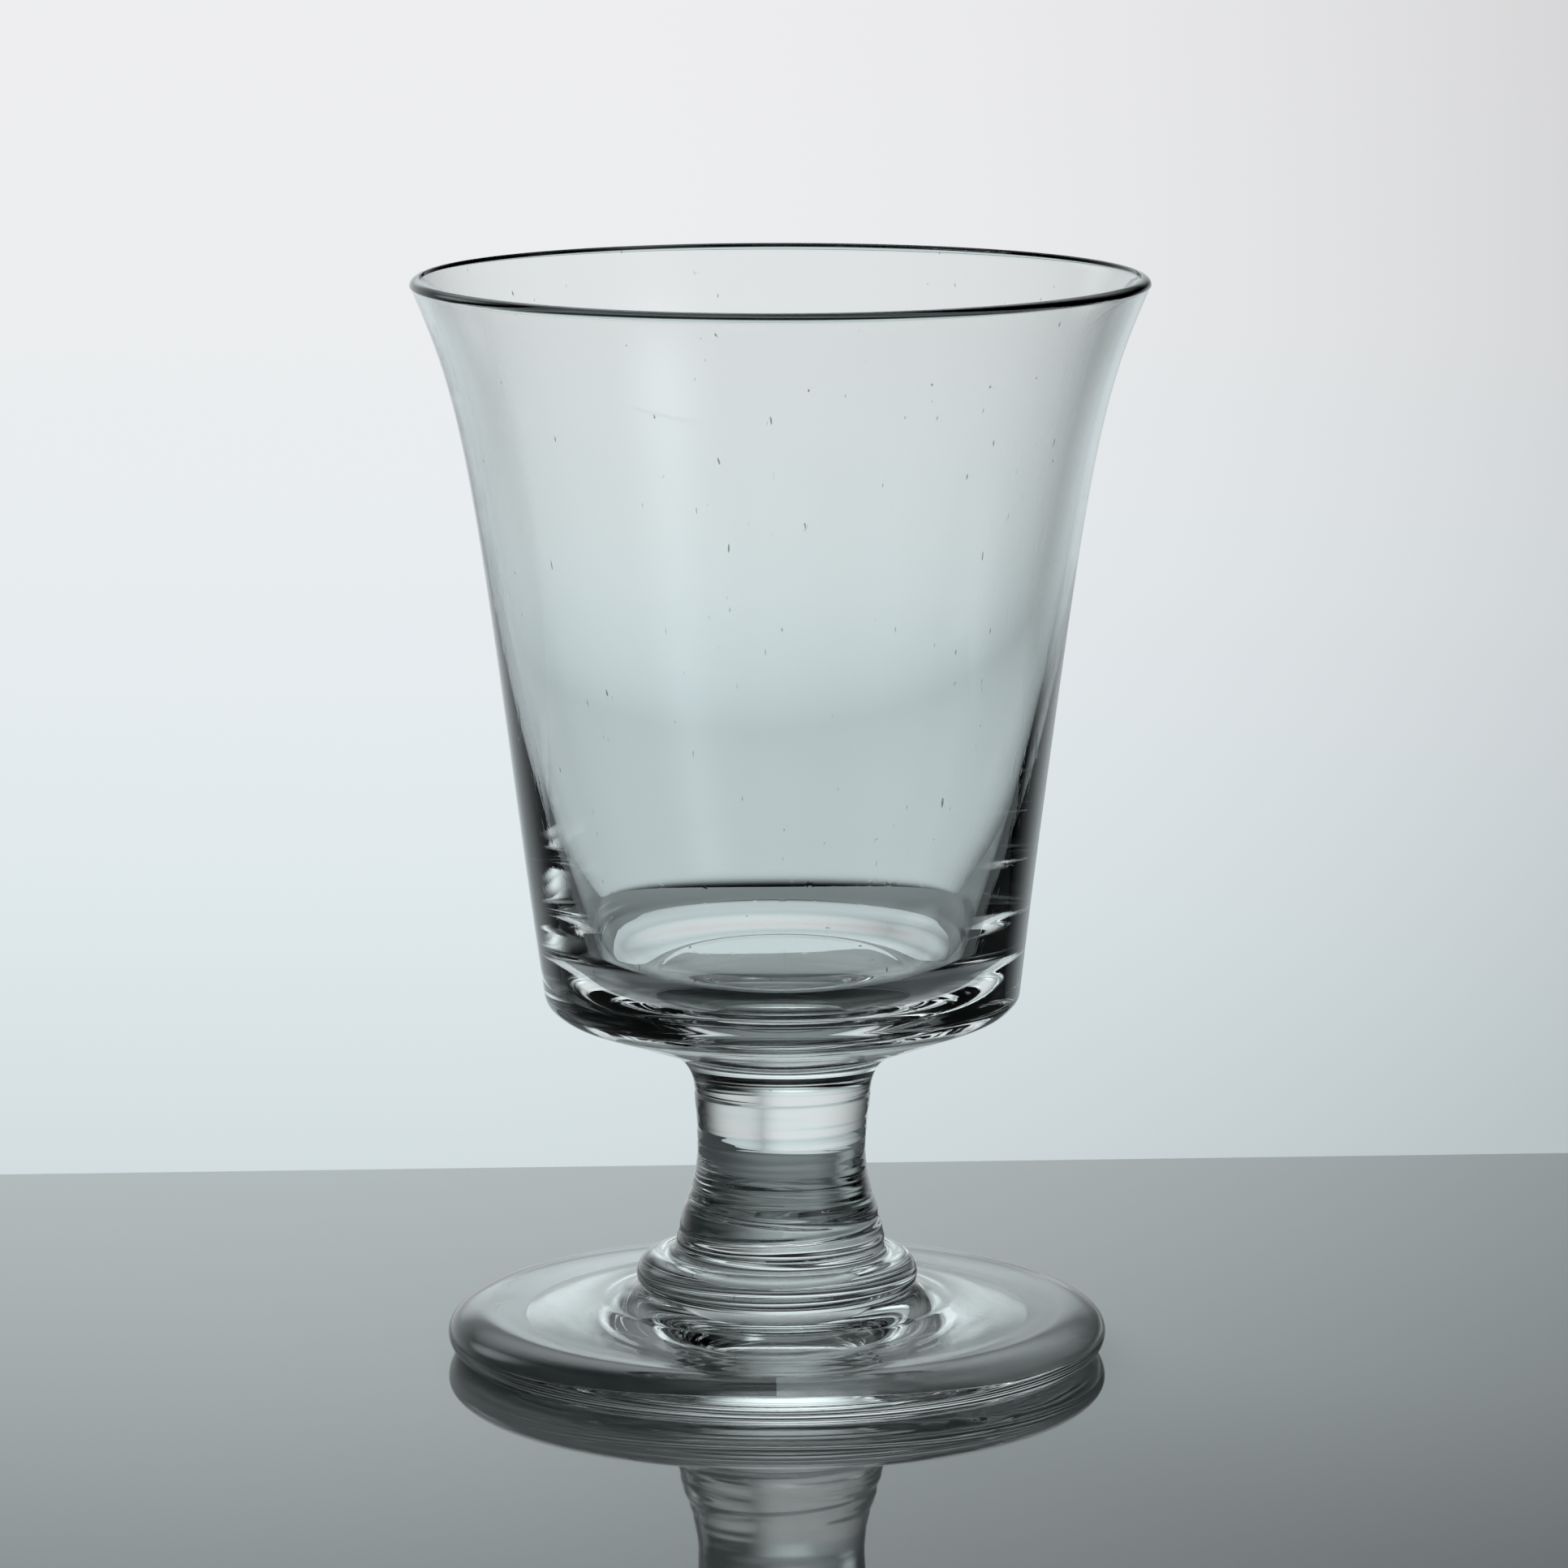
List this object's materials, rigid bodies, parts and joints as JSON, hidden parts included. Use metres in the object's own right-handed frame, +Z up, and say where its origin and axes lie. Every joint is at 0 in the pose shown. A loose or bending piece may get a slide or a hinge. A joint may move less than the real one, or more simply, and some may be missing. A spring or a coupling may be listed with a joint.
{
  "type": "rummer",
  "caption": "Clear hand-made drinking glass: a bucket bowl with a flared rim on a collar, a short waisted stem, a basal knop and a thick disc foot.",
  "frame": {"origin": "centre of the foot on the standing plane, on the axis of the glass", "axes": "+Z up along the axis of the glass, -Y towards the viewer and +X to the right as pictured"},
  "size_m": [0.0908, 0.0908, 0.135],
  "materials": {
    "bowl_glass": "clear, fire-polished, faint cool grey, fine scratches and a few seeds",
    "stem_glass": "clear, tooled while hot, with turning rings and tool marks",
    "foot_glass": "clear, fire-polished edge, worn standing ring, ground pontil mark"
  },
  "bodies": {
    "root": {"foot": "foot_glass", "basal_knop": "stem_glass", "stem": "stem_glass", "bowl_collar": "stem_glass", "bowl": "bowl_glass"}
  },
  "joints": []
}
